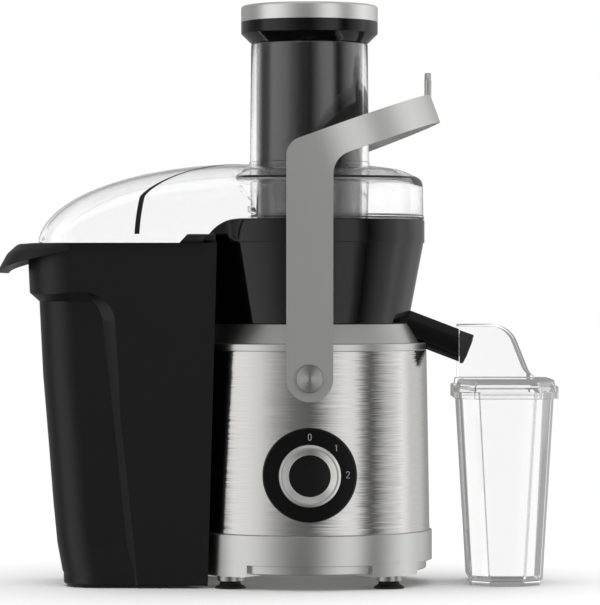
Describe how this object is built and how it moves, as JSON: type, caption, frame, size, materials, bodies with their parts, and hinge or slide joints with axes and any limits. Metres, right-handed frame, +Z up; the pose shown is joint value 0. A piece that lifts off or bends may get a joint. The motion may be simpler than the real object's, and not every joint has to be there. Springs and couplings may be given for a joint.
{
  "type": "centrifugal juicer",
  "caption": "Electric centrifugal juicer with a clear lid and feed chute, locking bail, pulp container and juice jug.",
  "frame": {"origin": "on the motor axis at the level of the table the feet stand on", "axes": "+Z up along the motor axis, -Y towards the user and the dial, +X towards the spout and jug"},
  "size_m": [0.3985, 0.1975, 0.4145],
  "materials": {
    "satin_silver": "satin silver lacquer",
    "brushed_steel": "fine brushing round the sleeve",
    "bail_metal": "satin cast aluminium, bead blasted",
    "pin_metal": "turned, satin",
    "rubber": "matt moulded",
    "screw_steel": "zinc plated",
    "black_housing": "moulded",
    "motor_steel": "laminated sheet",
    "copper": "enamelled wire",
    "cast_frame": "die cast",
    "bronze": "sintered",
    "carbon": "pressed carbon",
    "shaft_steel": "ground",
    "board": "glass-fibre circuit board",
    "gloss_black": "polished moulding",
    "satin_black": "satin moulding",
    "basket_plastic": "moulded",
    "filter_steel": "etched and pressed stainless",
    "clear": "polished clear polycarbonate",
    "cap_silver": "satin silver, spun"
  },
  "bodies": {
    "root": {"base_ring": "satin_silver", "bottom_pan": "satin_silver", "foot_back_right": "rubber", "foot_back_left": "rubber", "foot_front_left": "rubber", "foot_front_right": "rubber", "foot_washers": "pin_metal", "foot_screws": "screw_steel", "pan_screws": "screw_steel", "steel_sleeve": "brushed_steel", "inner_chassis": "black_housing", "top_collar": "satin_silver", "shaft_seal": "rubber", "cord_gland": "black_housing", "stator_core": "motor_steel", "field_windings": "copper", "lower_motor_frame": "cast_frame", "upper_motor_frame": "cast_frame", "motor_bolts": "screw_steel", "motor_mounts": "rubber", "mount_screws": "screw_steel", "lower_bearing": "bronze", "upper_bearing": "bronze", "brush_holders": "black_housing", "carbon_brushes": "carbon", "front_pivot_bush": "black_housing", "back_pivot_bush": "black_housing", "interlock_switch": "black_housing", "dial_bezel": "gloss_black", "rotary_switch": "black_housing", "control_board": "board", "bowl": "gloss_black", "juice_spout": "gloss_black"},
    "rotor": {"motor_shaft": "shaft_steel", "armature_core": "motor_steel", "armature_windings": "copper", "commutator": "copper", "cooling_fan": "black_housing", "drive_coupling": "gloss_black", "basket_frame": "basket_plastic", "filter_mesh": "filter_steel", "grater_disc": "filter_steel"},
    "bail": {"locking_bail": "bail_metal", "pivot_pins": "pin_metal", "interlock_cam": "black_housing"},
    "plunger": {"interlock_plunger": "black_housing"},
    "dial": {"dial_knob": "cap_silver", "dial_cap": "gloss_black", "dial_shaft": "shaft_steel"},
    "lid": {"lid_shell": "clear", "feed_chute": "clear", "lid_seal": "rubber"},
    "pusher": {"pusher_body": "gloss_black", "pusher_collar": "gloss_black", "pusher_cap": "cap_silver"},
    "container": {"pulp_container": "satin_black"},
    "jug": {"juice_jug": "clear", "jug_lid": "clear"}
  },
  "joints": [
    {"name": "basket_spin", "type": "hinge", "parent": "root", "child": "rotor", "pos_m": [0, 0, 0.2], "axis": [0, 0, 1], "continuous": true},
    {"name": "bail_swing", "type": "hinge", "parent": "root", "child": "bail", "pos_m": [0, 0, 0.1485], "axis": [0, 1, 0], "range_deg": [0, 88]},
    {"name": "plunger_slide", "type": "slide", "parent": "root", "child": "plunger", "axis": [0, 0, 1], "range_m": [0, 0.0029]},
    {"name": "dial_turn", "type": "hinge", "parent": "root", "child": "dial", "pos_m": [0, -0.09, 0.0812], "axis": [0, 1, 0], "range_deg": [0, 90]},
    {"name": "lid_lift", "type": "slide", "parent": "root", "child": "lid", "axis": [0, 0, 1], "range_m": [0, 0.15]},
    {"name": "pusher_lift", "type": "slide", "parent": "lid", "child": "pusher", "axis": [0, 0, 1], "range_m": [0, 0.16]},
    {"name": "container_slide", "type": "slide", "parent": "root", "child": "container", "axis": [-1, 0, 0], "range_m": [0, 0.2]},
    {"name": "jug_slide", "type": "slide", "parent": "root", "child": "jug", "axis": [1, 0, 0], "range_m": [0, 0.15]}
  ],
  "couplings": [
    {"joint": "plunger_slide", "follows": "bail_swing", "m_per_rad": 0.00183}
  ]
}
